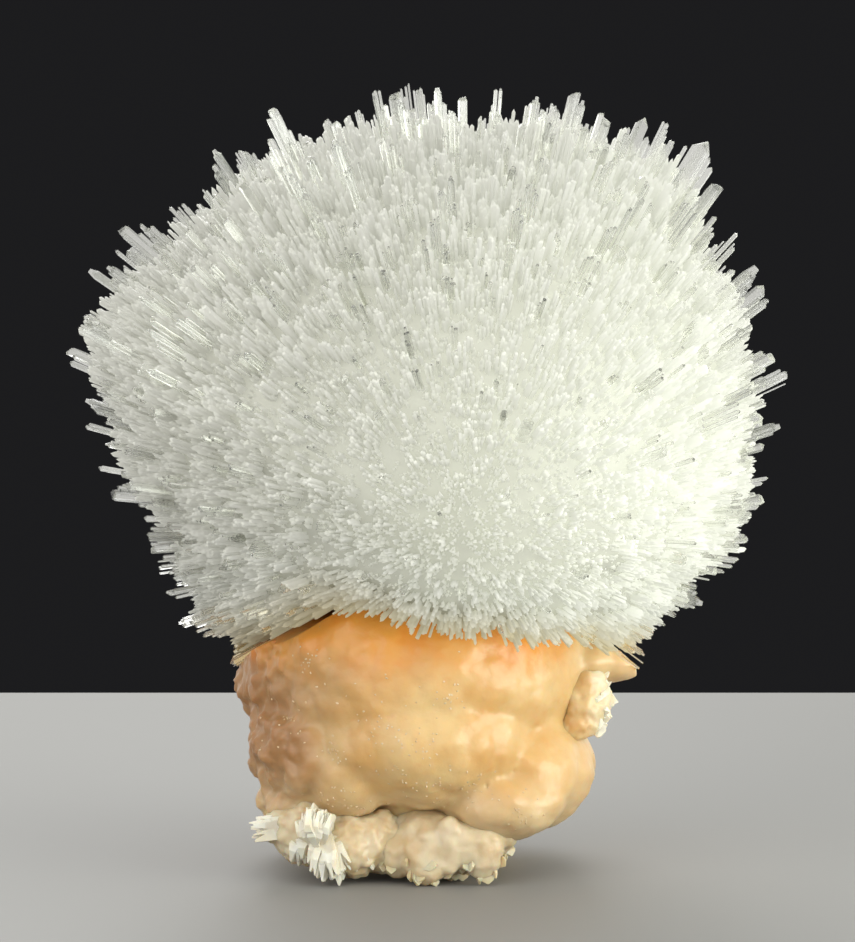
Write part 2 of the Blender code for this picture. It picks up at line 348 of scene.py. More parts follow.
def slanted_prism():
    """Eight sides, because the corners of a broad crystal are cut off, under one slanted end face."""
    form = add_prism("slanted prism", 4, SQUARE_TURN)
    bpy.ops.mesh.select_all(action="DESELECT")
    bpy.ops.mesh.select_mode(type="EDGE")
    editing = bmesh.from_edit_mesh(form.data)
    for edge in editing.edges:
        edge.select_set(abs(edge.verts[0].co.z - edge.verts[1].co.z) > 0.5)
    bmesh.update_edit_mesh(form.data)
    bpy.ops.mesh.bevel(offset=CORNER_CUT, segments=1, affect="EDGES")
    bpy.ops.mesh.select_mode(type="FACE")
    choose(is_top)
    bpy.ops.mesh.inset(thickness=SLANT_STEP)
    bpy.ops.transform.translate(value=(0.0, 0.0, SLANT_STEP))
    choose(lambda middle, normal: normal.z > 0.3 and middle.z > 0.9)
    bpy.ops.transform.rotate(value=SLANT_LEAN, orient_axis="X", center_override=(0.0, 0.0, 1.0))
    finish_form()
    return form


def join(name, pieces):
    select_only(*pieces)
    bpy.ops.object.join()
    pieces[0].name = name
    return pieces[0]


def lath_group():
    """Four laths side by side, each with its own end."""
    laths = []
    for count, (x, y, width, depth, height) in enumerate(LATHS):
        lath = add_prism(f"lath {count}", 4, SQUARE_TURN)
        bpy.ops.mesh.select_all(action="SELECT")
        bpy.ops.transform.resize(value=(width, depth, 1.0), center_override=(0.0, 0.0, 0.0))
        bpy.ops.transform.translate(value=(x, y, 0.0))
        choose(is_top)
        extrude_up(height)
        bpy.ops.transform.resize(value=(0.92, 0.5, 1.0))
        finish_form()
        laths.append(lath)
    return join("lath group", laths)


def places_of(piece):
    """Places of a piece's corners, one row for each."""
    places = np.empty(len(piece.data.vertices) * 3, dtype=np.float32)
    piece.data.vertices.foreach_get("co", places)
    return places.reshape(-1, 3).astype(float)


def take_form(form):
    """Corners and faces of a modelled form, in a fixed order. The form is then taken out of the scene."""
    corners = places_of(form)
    faces = []
    for polygon in form.data.polygons:
        ring = list(polygon.vertices)
        start = ring.index(min(ring))
        faces.append(ring[start:] + ring[:start])
    faces.sort()
    print(form.name, len(corners), "corners", sum(len(face) - 2 for face in faces), "triangles")
    bpy.data.objects.remove(form)
    return corners, faces


HAIR = take_form(pointed_needle("hair needle", 3, 0.0, HAIR_POINT))
FINE = take_form(pointed_needle("fine needle", 4, SQUARE_TURN, FINE_POINT))
CHISEL = take_form(chisel_prism())
SLANTED = take_form(slanted_prism())
LATH = take_form(lath_group())

# %% [markdown]
# ## Spreading the needles
# Needles stand side by side, so their feet are spread evenly over the ball and then strayed a little. They
# also keep company: a ball like this is made of wedges, each wedge of bundles, and each bundle of needles
# that share a length, a thickness, a lean and the turn of their flat sides. Two coarser spreads give the
# wedges and the bundles, and every needle takes the values of the bundle nearest to it. Drawing a bundle's
# needles a little together opens the dark slits between bundles.

# %% Spread directions over the ball
SEED = 11
rng = np.random.default_rng(SEED)


def spread(count, stray):
    """Directions to points spread evenly over the whole ball and strayed by a share of their spacing."""
    index = np.arange(count) + 0.5
    height = 1.0 - 2.0 * index / count
    turn = math.pi * (1.0 + math.sqrt(5.0)) * index
    level = np.sqrt(1.0 - height ** 2)
    even = np.stack((level * np.cos(turn), level * np.sin(turn), height), axis=1)
    spacing = math.sqrt(4.0 * math.pi / count)
    on_ball = unit(even + rng.normal(0.0, stray * spacing, even.shape))
    return unit(BALL_CENTRE + on_ball * BALL_HALF - GROWTH_CENTRE)


def nearest(directions, centres):
    tree = KDTree(len(centres))
    for number, centre in enumerate(centres):
        tree.insert(centre, number)
    tree.balance()
    return np.array([tree.find(direction)[1] for direction in directions])


WEDGES = 1500
WEDGE_STEP = 0.045
BUNDLES = 10500
BUNDLE_STEP = 0.032
LEAN = 0.012
BROAD_SHARE = 0.032
wedges = spread(WEDGES, 0.28)
wedge_share = rng.uniform(-WEDGE_STEP, WEDGE_STEP, WEDGES)
wedge_lean = rng.normal(0.0, LEAN, (WEDGES, 3))
bundles = spread(BUNDLES, 0.30)
bundle_wedge = nearest(bundles, wedges)
bundle_share = wedge_share[bundle_wedge] + rng.uniform(-BUNDLE_STEP, BUNDLE_STEP, BUNDLES)
bundle_lean = wedge_lean[bundle_wedge] + rng.normal(0.0, LEAN, (BUNDLES, 3))
bundle_turn = rng.uniform(0.0, math.tau, BUNDLES)
bundle_tone = rng.uniform(0.0, 1.0, BUNDLES)
bundle_width = rng.uniform(0.75, 1.25, BUNDLES)
bundle_is_broad = rng.uniform(0.0, 1.0, BUNDLES) < BROAD_SHARE
print("bundles", BUNDLES, "of them broad crystals", int(bundle_is_broad.sum()))

# %% [markdown]
# ## Planting copies of a form
# A copy of a form is placed by its foot, its axis, its turn, its width and its length. Arrays do this for
# tens of thousands of copies in less than a second, and the result is one joined mesh. Each corner also keeps
# how far out it lies as a share of the reach, the tone of its bundle, and how near it is to the skirt. The
# finishes use all three. A packed mass of fine needles is lit as one body, so milky needles can have their
# shading normals combed: turned from their own faces towards the outside of the ball.

# %% Plant forms and join them
TYPICAL_SHARE = 0.925
HEART_SHARE = 0.86
HEART_DROP = 0.22
HEART_EASE = math.radians(14.0)
ROOT_DEPTH = 0.02
# Painted bounce light: near the skirt the needles get a warm tint for the light that the stilbite throws onto
# them, fading out over this angle.
PAINTED_BOUNCE_ANGLE = math.radians(16.0)


def heart_share(angles):
    """Size of the milky heart as a share of the reach. It draws back near the skirt."""
    return HEART_SHARE - HEART_DROP * (1.0 - (angles / HEART_EASE).clip(0.0, 1.0)) ** 2


def ways_across(directions, turns):
    """Two ways at right angles to each direction and to each other, turned about it."""
    helper = np.where(np.abs(directions[:, 2:3]) < 0.9, (0.0, 0.0, 1.0), (1.0, 0.0, 0.0))
    right = unit(np.cross(directions, helper))
    up = np.cross(right, directions)
    side = right * np.cos(turns)[:, None] + up * np.sin(turns)[:, None]
    return side, np.cross(directions, side)


def set_out(form, starts, ways, lengths, shares, tones, painted_bounces):
    """Copies of a form, whose corners lie at given lengths along three ways from the start of each copy."""
    corners, faces = form
    places = starts[:, None, :]
    for way, length in zip(ways, lengths):
        places = places + way[:, None, :] * length[:, :, None]
    return {
        "places": places.reshape(-1, 3),
        "shares": np.broadcast_to(shares, places.shape[:2]).reshape(-1),
        "tones": np.repeat(tones, len(corners)),
        "painted_bounces": np.repeat(painted_bounces, len(corners)),
        "faces": faces,
        "corners": len(corners),
        "count": len(places),
    }


def plant(form, directions, tips, roots, widths, turns, tones):
    """Copies of a form along directions from the growth centre, between two distances."""
    corners = form[0]
    height = corners[:, 2]
    standing = height - height.clip(0.0, 1.0)
    body = (tips - roots - standing.max() * widths)[:, None]
    along = roots[:, None] + height.clip(0.0, 1.0) * body + standing * widths[:, None]
    lengths = (along, corners[None, :, 0] * widths[:, None], corners[None, :, 1] * widths[:, None])
    shares = along / reach(directions)[:, None]
    # How strongly the warm tint of painted bounce light from the stilbite applies, near the skirt.
    painted_bounces = (1.0 - above_skirt(directions) / PAINTED_BOUNCE_ANGLE).clip(0.0, 1.0) ** 2
    ways = (directions, *ways_across(directions, turns))
    return set_out(form, GROWTH_CENTRE[None, :], ways, lengths, shares, tones, painted_bounces)


def keep_values(mesh, name, values, kind="FLOAT", domain="POINT", field="value"):
    """Keeps values on a mesh under a name, one for each of its corners or of its faces' corners."""
    layer = mesh.attributes.new(name, kind, domain)
    layer.data.foreach_set(field, values.reshape(-1).astype(np.float32))


def joined(name, planted, combed=0.0):
    """One mesh of many planted copies, with the values that finishes read. Its normals can be combed."""
    places = np.concatenate([one["places"] for one in planted]).clip(*cad_box)
    loops, sizes, first = [], [], 0
    for one in planted:
        offsets = first + np.arange(one["count"])[:, None] * one["corners"]
        loops.append((offsets + np.concatenate(one["faces"])).reshape(-1))
        sizes.append(np.tile([len(face) for face in one["faces"]], one["count"]))
        first += one["count"] * one["corners"]
    loops = np.concatenate(loops)
    sizes = np.concatenate(sizes)
    mesh = bpy.data.meshes.new(name)
    mesh.vertices.add(len(places))
    mesh.vertices.foreach_set("co", places.reshape(-1).astype(np.float32))
    mesh.loops.add(len(loops))
    mesh.loops.foreach_set("vertex_index", loops.astype(np.int32))
    mesh.polygons.add(len(sizes))
    starts = np.concatenate(([0], np.cumsum(sizes)[:-1]))
    mesh.polygons.foreach_set("loop_start", starts.astype(np.int32))
    for kept in ("share", "tone", "painted_bounce"):
        keep_values(mesh, kept, np.concatenate([one[f"{kept}s"] for one in planted]))
    mesh.update(calc_edges=True)
    mesh.shade_flat()
    if combed > 0.0:
        flat_normals = np.empty(len(sizes) * 3, np.float32)
        mesh.polygons.foreach_get("normal", flat_normals)
        flat_normals = np.repeat(flat_normals.reshape(-1, 3), sizes, axis=0)
        away = unit(places[loops] - GROWTH_CENTRE)
        normals = unit(flat_normals * (1.0 - combed) + away * combed)
        keep_values(mesh, "custom_normal", normals, "FLOAT_VECTOR", "CORNER", "vector")
    made = bpy.data.objects.new(name, mesh)
    bpy.context.scene.collection.objects.link(made)
    print(name, "triangles", int((sizes - 2).sum()))
    return made


# %% [markdown]
# ## Packed milky needles
# Most of the ball is a felt of short milky needles whose ends lie nearly on one surface. A particle system
# could plant them, but planted copies of a modelled needle are plain mesh and come out the same each time.
# Only the outer part of a needle shows, so it starts just under the milky heart of the ball. Near the skirt
# the ends step back by chance, which opens the ragged fringe above the stilbite.

# %% Packed needles
FELT_COUNT = 58000
FELT_WIDTH = 0.40 * MM
FELT_SHARE = 0.895
FELT_STEP = 0.022
BUNDLE_PART = 0.55
DRAWN_TOGETHER = 0.16
LOWEST_FOOT = math.radians(1.0)
LOWEST_TIP = math.radians(0.5)
FRINGE_ANGLE = math.radians(9.0)
FRINGE_STEP = 0.19


def fringe_step(directions):
    """How far ends draw back near the skirt, as a share of the reach."""
    nearness = 1.0 - (above_skirt(directions) / FRINGE_ANGLE).clip(0.0, 1.0)
    return FRINGE_STEP * nearness * rng.uniform(0.0, 1.0, len(directions))


def felt():
    """Short needles side by side, whose ends make up the body of the ball."""
    directions = spread(FELT_COUNT, 0.24)
    directions = directions[above_skirt(directions) > LOWEST_FOOT]
    home = nearest(directions, bundles)
    drawn = directions + (bundles[home] - directions) * DRAWN_TOGETHER
    leant = unit(drawn + bundle_lean[home] * 0.5)
    low = above_skirt(leant) < LOWEST_TIP
    leant[low] = directions[low]
    count = len(home)
    share = FELT_SHARE + bundle_share[home] * BUNDLE_PART + rng.uniform(-FELT_STEP, FELT_STEP, count)
    return {
        "form": HAIR,
        "directions": leant,
        "tips": reach(leant) * (share - fringe_step(leant)),
        "roots": reach(leant) * (heart_share(above_skirt(leant)) - ROOT_DEPTH),
        "widths": FELT_WIDTH * bundle_width[home] * rng.uniform(0.7, 1.1, count),
        "turns": bundle_turn[home] + rng.normal(0.0, 0.08, count),
        "tones": bundle_tone[home],
    }


# %% [markdown]
# ## Tufts
# On the real ball small groups of needles stand out of the felt. The needles of one group are parallel, turn
# their sides the same way, and end in steps that fall away to both sides. Milky tufts give the body its soft
# streaks. Clear tufts are glassy: they make the grey, see-through rim. Few of them stand on the side that
# faces the camera, where the real ball is milky.

# %% Tufts of needles
LONGEST = 1.028
SHORTEST = 1.5 * MM


def tufts(count, members, low, height, widths, root_share):
    """Groups of parallel needles, highest in their middle and stepped to the sides."""
    middles = spread(count, 0.34)
    middles = middles[above_skirt(middles) > 2.0 * LOWEST_FOOT]
    count = len(middles)
    home = nearest(middles, bundles)
    middles = unit(middles + bundle_lean[home] * 1.2)
    span = reach(middles)
    top = low + rng.beta(1.5, 2.8, count) * height
    half_long = rng.uniform(0.5, 2.0, count) * MM
    half_short = rng.uniform(0.15, 0.45, count) * MM
    drop = rng.uniform(0.015, 0.06, count)
    turn = rng.uniform(0.0, math.tau, count)
    long_way, short_way = ways_across(middles, turn)
    made = []
    for _ in range(members):
        across = rng.uniform(-1.0, 1.0, count)
        beside = rng.uniform(-1.0, 1.0, count)
        offset = long_way * (across * half_long)[:, None] + short_way * (beside * half_short)[:, None]
        directions = unit(middles * span[:, None] + offset + rng.normal(0.0, 0.12 * MM, offset.shape))
        share = top - drop * np.abs(across) ** 1.3 * rng.uniform(0.4, 1.3, count)
        share -= rng.uniform(0.0, 0.012, count)
        made.append({
            "directions": directions,
            "tips": reach(directions) * (share.clip(None, LONGEST) - fringe_step(directions)),
            "widths": rng.uniform(*widths, count) * MM,
            "turns": turn + rng.normal(0.0, 0.06, count),
            "tones": bundle_tone[home],
        })
    made = {key: np.concatenate([one[key] for one in made]) for key in made[0]}
    made["form"] = FINE
    made["roots"] = np.minimum(reach(made["directions"]) * root_share, made["tips"] - SHORTEST)
    return made


def part_of(needles, chosen):
    return {key: value if key == "form" else value[chosen] for key, value in needles.items()}


MILKY_SIDE = unit(np.array([(0.25, -0.95, -0.15)]))[0]
CLEAR_IN_FRONT = 0.22


def kept_clear(directions):
    """Chooses clear crystals by chance, few on the milky front and all of them round the rim and behind."""
    turned_away = ((0.80 - directions @ MILKY_SIDE) / 0.35).clip(0.0, 1.0)
    return rng.uniform(0.0, 1.0, len(directions)) < CLEAR_IN_FRONT + (1.0 - CLEAR_IN_FRONT) * turned_away


felt_needles = felt()
milky_tufts = tufts(1850, 7, 0.905, 0.085, (0.16, 0.42), 0.87)
clear_tufts = tufts(640, 6, 0.93, 0.12, (0.14, 0.44), 0.89)
clear_tufts = part_of(clear_tufts, kept_clear(clear_tufts["directions"]))
print("felt", len(felt_needles["tips"]), "milky", len(milky_tufts["tips"]), "clear", len(clear_tufts["tips"]))

# %% [markdown]
# ## Joined pieces
# One mesh of half a million triangles would be thinned when it is saved for printing, so the felt is kept in
# four pieces, one for each quarter of the ball seen from above.

# %% Join the needles
COMBED = 0.86


def in_sectors(name, needles, count):
    """Joins needles in pieces that each hold one sector of the ball, seen from above."""
    bearing = np.arctan2(needles["directions"][:, 1], needles["directions"][:, 0]) / math.tau % 1.0
    made = []
    for sector in range(count):
        chosen = (bearing * count).astype(int) == sector
        made.append(joined(f"{name}_{sector + 1}", [plant(**part_of(needles, chosen))], COMBED))
    return made


milky_pieces = in_sectors("scolecite_milky_needles", felt_needles, 4)
milky_pieces.append(joined("scolecite_milky_tufts", [plant(**milky_tufts)], COMBED))
clear_pieces = [joined("scolecite_clear_tufts", [plant(**clear_tufts)])]

# %% [markdown]
# ## Broad clear crystals
# Some crystals on the real ball are a millimetre or two wide and glass clear, with a chisel edge, a slanted
# face or a stepped group of laths at the end. Most are scattered by chance. The few that draw the outline in
# the front view are placed one by one, by their angle from the right and their reach, each with slimmer ones
# beside it that run parallel.

# %% Broad crystals
RIM_CRYSTALS = (  # angle in degrees, reach in mm, width in mm
    (58.5, 57.6, 2.1), (54.1, 54.2, 1.5), (42.1, 49.4, 1.7), (39.2, 48.6, 1.2), (30.0, 44.6, 1.3),
    (18.4, 41.8, 1.2), (6.7, 38.0, 1.0), (-2.0, 35.6, 0.9), (-16.8, 31.4, 1.2), (66.5, 56.6, 1.6),
    (76.2, 57.0, 1.2), (93.7, 56.0, 1.0), (99.4, 56.0, 1.3), (114.6, 58.3, 1.1), (123.2, 57.3, 1.0),
    (138.4, 57.6, 1.2), (155.7, 54.9, 1.3), (161.5, 49.5, 1.0), (173.6, 44.8, 1.0), (182.7, 39.6, 1.0),
    (198.3, 38.0, 0.9), (210.0, 34.0, 0.9),
)
RIM_BESIDE = 5

CRYSTAL_FOOT = 0.86
RIM_FOOT = 0.84

broad = np.flatnonzero(bundle_is_broad & (above_skirt(bundles) > 2.0 * LOWEST_FOOT) & kept_clear(bundles))
kinds = rng.integers(0, 3, len(broad))
planted = []
for kind, form in enumerate((CHISEL, SLANTED, LATH)):
    chosen = broad[kinds == kind]
    directions = unit(bundles[chosen] + bundle_lean[chosen])
    share = TYPICAL_SHARE + bundle_share[chosen] * 0.6 + rng.uniform(0.0, 0.06, len(chosen))
    planted.append(plant(
        form, directions, reach(directions) * (share.clip(0.9, LONGEST) - fringe_step(directions)),
        reach(directions) * CRYSTAL_FOOT, rng.uniform(0.6, 1.2, len(chosen)) * MM, bundle_turn[chosen],
        bundle_tone[chosen],
    ))
for number, (angle, length, width) in enumerate(RIM_CRYSTALS):
    bearing = math.radians(angle)
    main = np.array((math.cos(bearing), rng.uniform(-0.12, 0.02), math.sin(bearing)))
    across = np.array((-math.sin(bearing), 0.0, math.cos(bearing)))
    offsets = np.concatenate(([0.0], rng.uniform(-1.0, 1.0, RIM_BESIDE) * (width + 1.2))) * MM
    strays = rng.normal(0.0, 0.2 * MM, (RIM_BESIDE + 1, 3))
    directions = unit(main * length * MM + across * offsets[:, None] + strays)
    tips = length * MM - np.abs(offsets) * rng.uniform(0.9, 2.6, RIM_BESIDE + 1)
    widths = np.concatenate(([width], rng.uniform(0.35, 0.8, RIM_BESIDE))) * MM
    turns = np.full(RIM_BESIDE + 1, rng.uniform(0.0, math.tau))
    for form, some in (((CHISEL, SLANTED, LATH)[number % 3], slice(0, 1)), (CHISEL, slice(1, None))):
        planted.append(plant(
            form, directions[some], tips[some], tips[some] * RIM_FOOT, widths[some], turns[some],
            np.ones(len(tips[some])),
        ))
clear_pieces.append(joined("scolecite_clear_prisms", planted))

# %% [markdown]
# ## Milky heart
# Deep in the ball the needles are fused into a solid white mass. It shows only in the slits, and it stops
# light from passing through the whole ball. A fine sphere is drawn to the law of the needles, at a smaller
# share of their reach, and its underside is drawn in to a hollow cone above the stilbite.

# %% Milky heart
def set_places(piece, places):
    piece.data.vertices.foreach_set("co", places.reshape(-1).astype(np.float32))
    piece.data.update()


select_only()
bpy.ops.mesh.primitive_ico_sphere_add(subdivisions=6, radius=1.0)
bpy.ops.object.shade_smooth()
heart = bpy.context.object
heart.name = "scolecite_heart"
directions = unit(places_of(heart))
angle = above_skirt(directions)
bearing = np.arctan2(directions[:, 1], directions[:, 0])
slope = skirt_slope(directions)
rim = np.stack((np.cos(slope) * np.cos(bearing), np.cos(slope) * np.sin(bearing), np.sin(slope)), axis=1)
below = angle < 0.0
outward = np.where(below[:, None], rim, directions)
share = heart_share(angle)
share = np.where(below, share * (1.0 - (-angle / (slope + math.pi / 2.0)).clip(0.0, 1.0)), share)
set_places(heart, GROWTH_CENTRE + outward * (reach(outward) * share)[:, None])
# Painted bounce light: how strongly the heart takes the warm tint near the skirt.
painted_bounce = (1.0 - angle / PAINTED_BOUNCE_ANGLE).clip(0.0, 1.0) ** 2
for name, values in (("share", share), ("tone", np.full(len(share), 0.5)), ("painted_bounce", painted_bounce)):
    keep_values(heart.data, name, values)
print("heart triangles", len(heart.data.polygons))

# %% [markdown]
# ## Finishes of the needles
# Scolecite is colourless glass, but thousands of fine needles scatter light until the whole is white. Light
# also wanders from needle to needle inside the ball, which evens out the shade of their sides. Following
# every path of that light would take hours. The milky needles have their shading normals combed outwards
# instead, let a share of the light through, and no needle casts a hard shadow. The shade that would fall in
# the slits is painted instead: the milky needles and the heart are darker towards the depth. Near the skirt a
# warm tint is painted bounce light, thrown back from the stilbite onto the needles. The colour from the depth
# to the ends is needed by three finishes, so it is built once as a shader group.

# %% Shader group of the needles
# Painted bounce light: the warm tint that stands for light thrown back from the stilbite onto the needles
# near the skirt.
PAINTED_BOUNCE_TINT = (1.0, 0.86, 0.60, 1.0)


def add_group(name, inputs, outputs):
    """A shader group with named inputs and outputs, and what its own nodes are given and have to give."""
    group = bpy.data.node_groups.new(name, "ShaderNodeTree")
    for label, kind, value in inputs:
        socket = group.interface.new_socket(name=label, in_out="INPUT", socket_type=f"NodeSocket{kind}")
        socket.default_value = value
    for label, kind in outputs:
        group.interface.new_socket(name=label, in_out="OUTPUT", socket_type=f"NodeSocket{kind}")
    return group, group.nodes.new("NodeGroupInput").outputs, group.nodes.new("NodeGroupOutput").inputs


def eased_between(tree, value, start, end):
    """Nothing up to the start, all from the end on, and eased between."""
    span = add_node(tree, "MapRange", {
        "Value": value, "From Min": start, "From Max": end,
    }, interpolation_type="SMOOTHSTEP")
    return span.outputs["Result"]


def mix_colours(tree, factor, first, second, blend="MIX"):
    mix = add_node(tree, "Mix", {
        "Factor": factor, "A": first, "B": second,
    }, data_type="RGBA", blend_type=blend)
    return mix.outputs["Result"]


def growth_colour():
    """Colour from the depth to the thin ends, where a darker depth is painted shade, with a tone that differs
    from bundle to bundle and a warm tint of painted bounce light near the skirt.
    """
    group, given, result = add_group(
        "growth colour",
        (("Deep", "Color", (1.0, 1.0, 1.0, 1.0)), ("End", "Color", (0.8, 0.8, 0.8, 1.0)),
         ("From", "Float", 0.87), ("To", "Float", 1.0), ("Tone", "Float", 0.1)),
        (("Colour", "Color"),),
    )
    share, tone, painted_bounce = (
        add_node(group, "Attribute", attribute_name=name).outputs["Fac"] for name in ("share", "tone", "painted_bounce")
    )
    far_out = eased_between(group, share, given["From"], given["To"])
    colour = mix_colours(group, far_out, given["Deep"], given["End"])
    darker = add_node(group, "Math", {0: tone, 1: given["Tone"]}, operation="MULTIPLY")
    left = add_node(group, "Math", {0: 1.0, 1: darker.outputs[0]}, operation="SUBTRACT")
    scaled = add_node(group, "VectorMath", {0: colour, "Scale": left.outputs[0]}, operation="SCALE")
    # Painted bounce light: the warm tint multiplied in near the skirt.
    tinted = mix_colours(group, painted_bounce, scaled.outputs[0], PAINTED_BOUNCE_TINT, "MULTIPLY")
    group.links.new(tinted, result["Colour"])
    return group


GROWTH_COLOUR = growth_colour()


# %% Needle finishes
def place_growth(finish, values):
    """Places the growth colour in a finish, with its own values, and links it to the shader."""
    colour = add_node(finish.node_tree, "Group", values, node_tree=GROWTH_COLOUR).outputs["Colour"]
    finish.node_tree.links.new(colour, finish.node_tree.nodes["Principled BSDF"].inputs["Base Color"])
    return colour


def let_light_pass(finish, share, colour):
    """Mixes in a share of light that comes through from behind, in the same colour."""
    tree = finish.node_tree
    through = add_node(tree, "BsdfTranslucent", {"Color": colour})
    surface = tree.nodes["Principled BSDF"].outputs[0]
    mixed = add_node(tree, "MixShader", {0: share, 1: surface, 2: through.outputs[0]})
    tree.links.new(mixed.outputs[0], tree.nodes["Material Output"].inputs["Surface"])


DEEP_WHITE = (0.975, 0.978, 0.945)
milky_finish = plain_material("milky scolecite", DEEP_WHITE, 0.3)
# Painted shade: the milky needles are darker towards their depth, for the shade that would fall in the slits
# between them.
milky_colour = place_growth(milky_finish, {
    "Deep": (0.855, 0.862, 0.795, 1.0), "End": (0.955, 0.96, 0.91, 1.0),
    "From": 0.86, "To": 0.95, "Tone": 0.06,
})
let_light_pass(milky_finish, 0.3, milky_colour)
heart_finish = plain_material("milky heart", DEEP_WHITE, 0.5)
# Painted shade: the heart is much darker than the needles, for the shade deep in the slits where it shows.
place_growth(heart_finish, {"Deep": (0.50, 0.505, 0.455, 1.0), "Tone": 0.0})
clear_finish = plain_material("clear scolecite", (0.95, 0.95, 0.93), 0.22)
shader = clear_finish.node_tree.nodes["Principled BSDF"]
shader.inputs["Transmission Weight"].default_value = 1.0
shader.inputs["IOR"].default_value = 1.51
place_growth(clear_finish, {
    "Deep": (*DEEP_WHITE, 1.0), "End": (0.90, 0.905, 0.89, 1.0), "From": 0.88, "To": 1.0, "Tone": 0.04,
})
finished = [(one, milky_finish) for one in milky_pieces] + [(one, clear_finish) for one in clear_pieces]
for one, finish in [*finished, (heart, heart_finish)]:
    one.data.materials.append(finish)
    one.visible_shadow = one is heart
    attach(one, "root")
    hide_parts("scolecite_spray")

# %% [markdown]
# ## Stilbite body
# Stilbite grows here as a waxy mass of rounded lobes, each the blunt end of a sheaf of thin plates. The lobes
# could be sculpted, but overlapping lumps that are fused by a voxel remesh give the same soft creases, and
# they start from the middles and half-sizes of the solid. Displacing the fused skin with cloud and cell
# textures then raises smaller lobes and a fine sugary grain on it. On its left the real body breaks into
# small ledges, so stronger cell textures act there through a vertex group.

# %% Fuse lumps into a skin
def add_lump(middle, half_sizes):
    select_only()
    bpy.ops.mesh.primitive_ico_sphere_add(subdivisions=4, radius=1.0)
    lump = begin("lump")
    bpy.ops.mesh.select_all(action="SELECT")
    bpy.ops.transform.resize(value=Vector(half_sizes) * MM)
    bpy.ops.transform.translate(value=Vector(middle) * MM)
    finish_form()
    return lump


def apply_modifier(piece, modifier):
    bpy.context.view_layer.objects.active = piece
    bpy.ops.object.modifier_apply(modifier=modifier.name)


def fused(name, lumps, voxel, softening):
    """Lumps joined and remeshed into one closed skin."""
    skin = join(name, [add_lump(*lump) for lump in lumps])
    skin.data.name = name
    remesh = skin.modifiers.new("fuse", "REMESH")
    remesh.mode = "VOXEL"
    remesh.voxel_size = voxel * MM
    apply_modifier(skin, remesh)
    smooth = skin.modifiers.new("soften", "SMOOTH")
    smooth.factor = 0.5
    smooth.iterations = softening
    apply_modifier(skin, smooth)
    return skin


def displace(skin, kind, size, height, middle=0.5, group="", **settings):
    """Raises and sinks the skin, or one vertex group of it, by a procedural texture."""
    texture = bpy.data.textures.new(f"{skin.name} {kind} {size}", kind)
    texture.noise_scale = size * MM
    for key, value in settings.items():
        setattr(texture, key, value)
    step = skin.modifiers.new("displace", "DISPLACE")
    step.vertex_group = group
    step.texture = texture
    step.texture_coords = "LOCAL"
    step.strength = height * MM
    step.mid_level = middle
    apply_modifier(skin, step)


def trim(skin, under_skirt):
    """Sets corners below the floor on it, and corners above the skirt of the needles on the skirt."""
    places = places_of(skin)
    if under_skirt:
        offset = places - GROWTH_CENTRE
        level = np.linalg.norm(offset[:, :2], axis=1)
        highest = GROWTH_CENTRE[2] + np.tan(skirt_slope(offset)) * level - SKIRT_ROOM
        places[:, 2] = np.minimum(places[:, 2], highest)
    places[:, 2] = places[:, 2].clip(0.0)
    set_places(skin, places)
    select_only(skin)
    bpy.ops.object.shade_smooth()
    print(skin.name, "triangles", sum(len(face.vertices) - 2 for face in skin.data.polygons))


# %% Body
SKIRT_ROOM = 0.6 * MM
FLANGE_END = 29.0 * MM
LEDGES_FROM = -9.0 * MM
LEDGES_FULL = -16.0 * MM
MASS_LUMPS = (  # middle and half-sizes, in mm
    ((1.5, 0.0, 25.0), (23.0, 24.0, 19.0)),
    ((0.5, 1.0, 8.0), (15.0, 17.0, 12.0)),
    ((-11.5, -5.5, 16.0), (8.6, 15.0, 9.6)),
    ((2.5, -13.5, 17.5), (14.5, 11.5, 9.5)),
    ((15.0, -6.0, 13.4), (9.2, 14.5, 8.4)),
    ((14.5, 9.0, 15.0), (8.5, 12.0, 10.0)),
    ((-12.5, 8.5, 13.0), (7.0, 10.0, 10.5)),
    ((-2.0, 17.0, 12.0), (13.0, 8.0, 11.0)),
    ((-13.6, -9.0, 8.8), (5.4, 7.5, 4.0)),
    ((12.0, -15.0, 10.2), (8.5, 7.5, 5.0)),
    ((-6.5, -17.0, 13.2), (5.6, 5.0, 5.2)),
    ((22.5, -3.0, 26.2), (5.6, 8.0, 3.2)),
    ((26.0, -3.0, 26.0), (5.4, 6.4, 2.8)),
)

mass = fused("stilbite_body", MASS_LUMPS, 0.42, 10)
places = places_of(mass)
places[:, 0] = places[:, 0].clip(None, FLANGE_END)
set_places(mass, places)
displace(mass, "CLOUDS", 14.0, 1.8)
displace(mass, "VORONOI", 7.0, -0.9, 0.35)
ledges = mass.vertex_groups.new(name="ledges")
for number, place in enumerate(places_of(mass)):
    weight = (LEDGES_FROM - place[0]) / (LEDGES_FROM - LEDGES_FULL)
    ledges.add([number], min(max(weight, 0.0), 1.0), "REPLACE")
displace(mass, "VORONOI", 3.6, -1.9, 0.3, "ledges", distance_metric="CHEBYCHEV")
displace(mass, "VORONOI", 1.6, -0.7, 0.3, "ledges", distance_metric="CHEBYCHEV")
displace(mass, "VORONOI", 2.6, -0.34, 0.35)
displace(mass, "CLOUDS", 0.9, 0.14)
trim(mass, True)

# %% [markdown]
# ## Pale lobes
# The pale lobe at the foot and the small one under the right rim grew later and hold fewer stains. They are
# fused in the same way from the lumps of their own solids, with finer folds.

